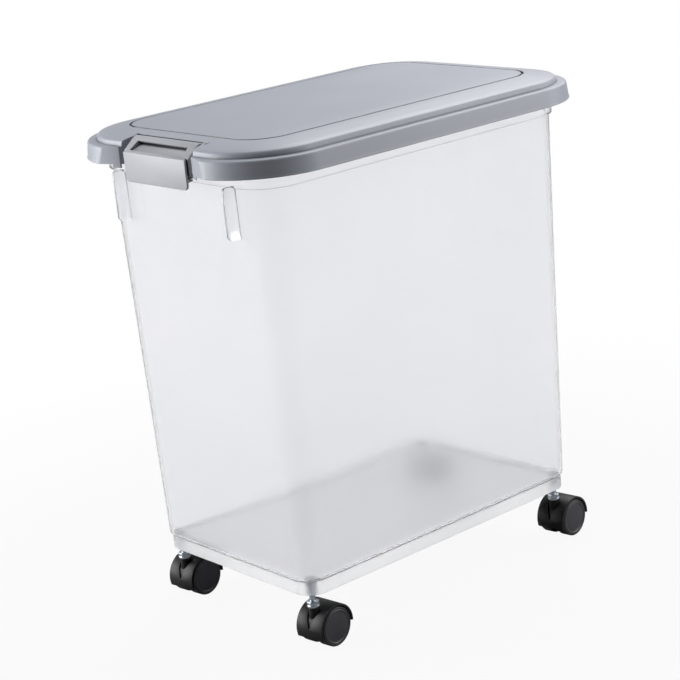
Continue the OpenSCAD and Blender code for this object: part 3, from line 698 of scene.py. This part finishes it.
hoodPiece, stemPiece, wheelPiece, capPiece = makeHood(), makeStem(), makeWheel(), makeCap()
for corner in corners:
    sx = -1 if corner.endswith("left") else 1
    sy = -1 if corner.startswith("front") else 1
    stand = shiftTo(sx * tub["socketX"], sy * tub["socketY"], 0)
    turned = stand @ Matrix.Rotation(math.radians(caster["turn"]), 4, "Z")
    piece = bakePlace(copyPiece(stemPiece, "stemPiece_" + corner), stand)
    finishPiece(piece, finishes["zincSteel"], "bin", "stem_" + corner)
    piece = bakePlace(copyPiece(hoodPiece, "hoodPiece_" + corner), turned)
    finishPiece(piece, finishes["hoodPlastic"], "caster_" + corner, "hood_" + corner)
    for which, side in (("inner", -sx), ("outer", sx)):
        axle = (turned @ shiftTo(0, caster["trail"], caster["wheelR"])
                @ Matrix.Rotation(side * math.pi / 2, 4, "Y"))
        body = which + "_wheel_" + corner
        piece = bakePlace(copyPiece(wheelPiece, which + "WheelPiece_" + corner), axle)
        finishPiece(piece, finishes["wheelPlastic"], body, body)
        piece = bakePlace(copyPiece(capPiece, which + "CapPiece_" + corner), axle)
        finishPiece(piece, finishes["capPlastic"], body, which + "_cap_" + corner)
for sample in (hoodPiece, stemPiece, wheelPiece, capPiece):
    bpy.data.objects.remove(sample, do_unlink=True)
print("casters ready")


# CAD nodes get their finish too; the longest start of a name decides

nodeFinish = {
    "lid": "lidPlastic", "lid_gasket": "gasketRubber", "latch": "latchPlastic", "grip_rings": "zincSteel",
    "stem": "zincSteel", "hood": "hoodPlastic", "axle": "pinSteel", "inner_wheel": "wheelPlastic",
    "outer_wheel": "wheelPlastic", "inner_cap": "capPlastic", "outer_cap": "capPlastic"}
for nodeName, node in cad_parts.items():
    key = next((k for k in sorted(nodeFinish, key=len, reverse=True) if nodeName.startswith(k)), None)
    if key:
        node.data.materials.clear()
        node.data.materials.append(finishes[nodeFinish[key]])


# Studio: floor, world, lamps and camera. Lengths are in metres here.

studio = {
    "floorSize": 12.0, "fadeNear": 0.3, "fadeFar": 1.0, "floorNear": 0.93, "horizon": 0.12, "zenith": 0.7,
    "darkEnd": (0.75, -0.64, 0.15), "lampAim": (0, 0, 0.3)}

# plain floor: white where it is seen directly or through the tub, matte where it catches the shadow
dropSelection()
bpy.ops.mesh.primitive_plane_add(size=studio["floorSize"])
floorPlane = bpy.context.object
floorPlane.name = "studioFloor"
floorPaint = newMaterial("matteFloorPaint")
floorPlace = addNode(floorPaint, "ShaderNodeTexCoord")
floorFar = addNode(floorPaint, "ShaderNodeVectorMath", None, {0: (floorPlace, "Object")}, operation="LENGTH")
floorFade = addNode(floorPaint, "ShaderNodeMapRange",
                    {"From Min": studio["fadeNear"], "From Max": studio["fadeFar"],
                     "To Min": studio["floorNear"]},
                    {"Value": (floorFar, "Value")}, interpolation_type="SMOOTHSTEP")
floorRays = addNode(floorPaint, "ShaderNodeLightPath")
floorWhite = addNode(floorPaint, "ShaderNodeMath", None,
                     {0: (floorRays, "Is Camera Ray"), 1: (floorRays, "Transmission Depth")},
                     operation="MAXIMUM", use_clamp=True)
floorSeen = addNode(floorPaint, "ShaderNodeMath", None,
                    {0: (floorWhite, "Value"), 1: (floorFade, "Result")}, operation="MULTIPLY")
floorMatte = addNode(floorPaint, "ShaderNodeBsdfPrincipled",
                     {"Base Color": linearColor("#888888"), "Roughness": 0.9})
floorGlow = addNode(floorPaint, "ShaderNodeEmission", {"Color": white, "Strength": 1.0})
floorMix = addNode(floorPaint, "ShaderNodeMixShader", None,
                   {0: (floorSeen, "Value"), 1: (floorMatte, "BSDF"), 2: (floorGlow, "Emission")})
addNode(floorPaint, "ShaderNodeOutputMaterial", None, {"Surface": (floorMix, "Shader")})
floorPlane.data.materials.append(floorPaint)

# soft light from above that falls off towards the horizon; seen directly or through the tub it is plain white
world = bpy.data.worlds.new("studioWorld")
bpy.context.scene.world = world
world.use_nodes = True
world.node_tree.nodes.clear()
skyPlace = addNode(world, "ShaderNodeTexCoord")
skyAxes = addNode(world, "ShaderNodeSeparateXYZ", None, {0: (skyPlace, "Generated")})
skyRays = addNode(world, "ShaderNodeLightPath")
skySeen = addNode(world, "ShaderNodeMath", None,
                  {0: (skyRays, "Is Camera Ray"), 1: (skyRays, "Transmission Depth")},
                  operation="MAXIMUM", use_clamp=True)
skyRise = addNode(world, "ShaderNodeMapRange",
                  {"From Min": 0.0, "From Max": 0.9, "To Min": studio["horizon"], "To Max": studio["zenith"]},
                  {"Value": (skyAxes, "Z")})
# the near end of the studio stays dark, which gives the front corner its dark reflections
skyNear = addNode(world, "ShaderNodeVectorMath", {1: studio["darkEnd"]}, {0: (skyPlace, "Generated")},
                  operation="DOT_PRODUCT")
skyDark = addNode(world, "ShaderNodeMapRange",
                  {"From Min": 0.35, "From Max": 0.8, "To Min": 1.0, "To Max": 0.05},
                  {"Value": (skyNear, "Value")}, interpolation_type="SMOOTHSTEP")
skyTotal = addNode(world, "ShaderNodeMath", None, {0: (skyRise, "Result"), 1: (skyDark, "Result")},
                   operation="MULTIPLY")
skyLight = addNode(world, "ShaderNodeBackground", {"Color": white}, {"Strength": (skyTotal, "Value")})
skyWhite = addNode(world, "ShaderNodeBackground", {"Color": white, "Strength": 1.0})
skyMix = addNode(world, "ShaderNodeMixShader", None,
                 {0: (skySeen, "Value"), 1: (skyLight, "Background"), 2: (skyWhite, "Background")})
addNode(world, "ShaderNodeOutputWorld", None, {"Surface": (skyMix, "Shader")})

# dark cards that only reflections see give the skirt and the corners their dark edges
cards = [
    ("darkCardNear", (1.25, -1.2, 0.02), (1.5, 0.5), 46),
    ("darkCardSide", (2.2, 0.9, 0.02), (2.6, 0.7), -60),
]
cardPaint = newMaterial("blackStudioCard")
cardShade = addNode(cardPaint, "ShaderNodeBsdfPrincipled",
                    {"Base Color": linearColor("#0A0A0B"), "Roughness": 0.9})
addNode(cardPaint, "ShaderNodeOutputMaterial", None, {"Surface": (cardShade, "BSDF")})
for cardName, spot, (w, h), turn in cards:
    dropSelection()
    bpy.ops.mesh.primitive_plane_add(size=1, location=spot, rotation=(0, 0, math.radians(turn)))
    card = bpy.context.object
    card.name = cardName
    card.scale = (w, h, 1)
    card.data.materials.append(cardPaint)
    card.visible_camera = card.visible_diffuse = card.visible_shadow = card.visible_transmission = False

# name, place, diameter in metres and power in watts
lamps = [
    ("keyLamp", (-1.6, -1.68, 0.75), 1.9, 72),
    ("sideLamp", (1.5, 1.8, 1.0), 1.9, 42),
    ("topLamp", (-0.6, 1.4, 1.9), 1.6, 30),
]
for lampName, spot, size, power in lamps:
    dropSelection()
    bpy.ops.object.light_add(type="AREA", location=spot)
    lamp = bpy.context.object
    lamp.name = lampName
    lamp.data.shape = "DISK"
    lamp.data.size = size
    lamp.data.energy = power
    lamp.visible_transmission = False
    aim = Vector(studio["lampAim"]) - Vector(spot)
    lamp.rotation_euler = aim.to_track_quat("-Z", "Y").to_euler()

# The camera stands where the photo was taken, worked out from the photo's perspective
photoView = {
    "place": (1.539150, -1.304974, 0.848825), "right": (0.65966977, 0.74550155, -0.095201),
    "up": (-0.15150417, 0.25598136, 0.95473558), "back": (0.73612653, -0.61538686, 0.28180976),
    "lens": 106.594, "sensor": 36, "farEnd": 50}
dropSelection()
bpy.ops.object.camera_add(location=photoView["place"])
camera = bpy.context.object
axes = Matrix((photoView["right"], photoView["up"], photoView["back"])).transposed()
camera.matrix_world = Matrix.Translation(photoView["place"]) @ axes.to_4x4()
camera.data.lens = photoView["lens"]
camera.data.sensor_width = photoView["sensor"]
camera.data.clip_end = photoView["farEnd"]
bpy.context.scene.camera = camera
bpy.context.scene.view_settings.view_transform = "Standard"
print("studio ready")
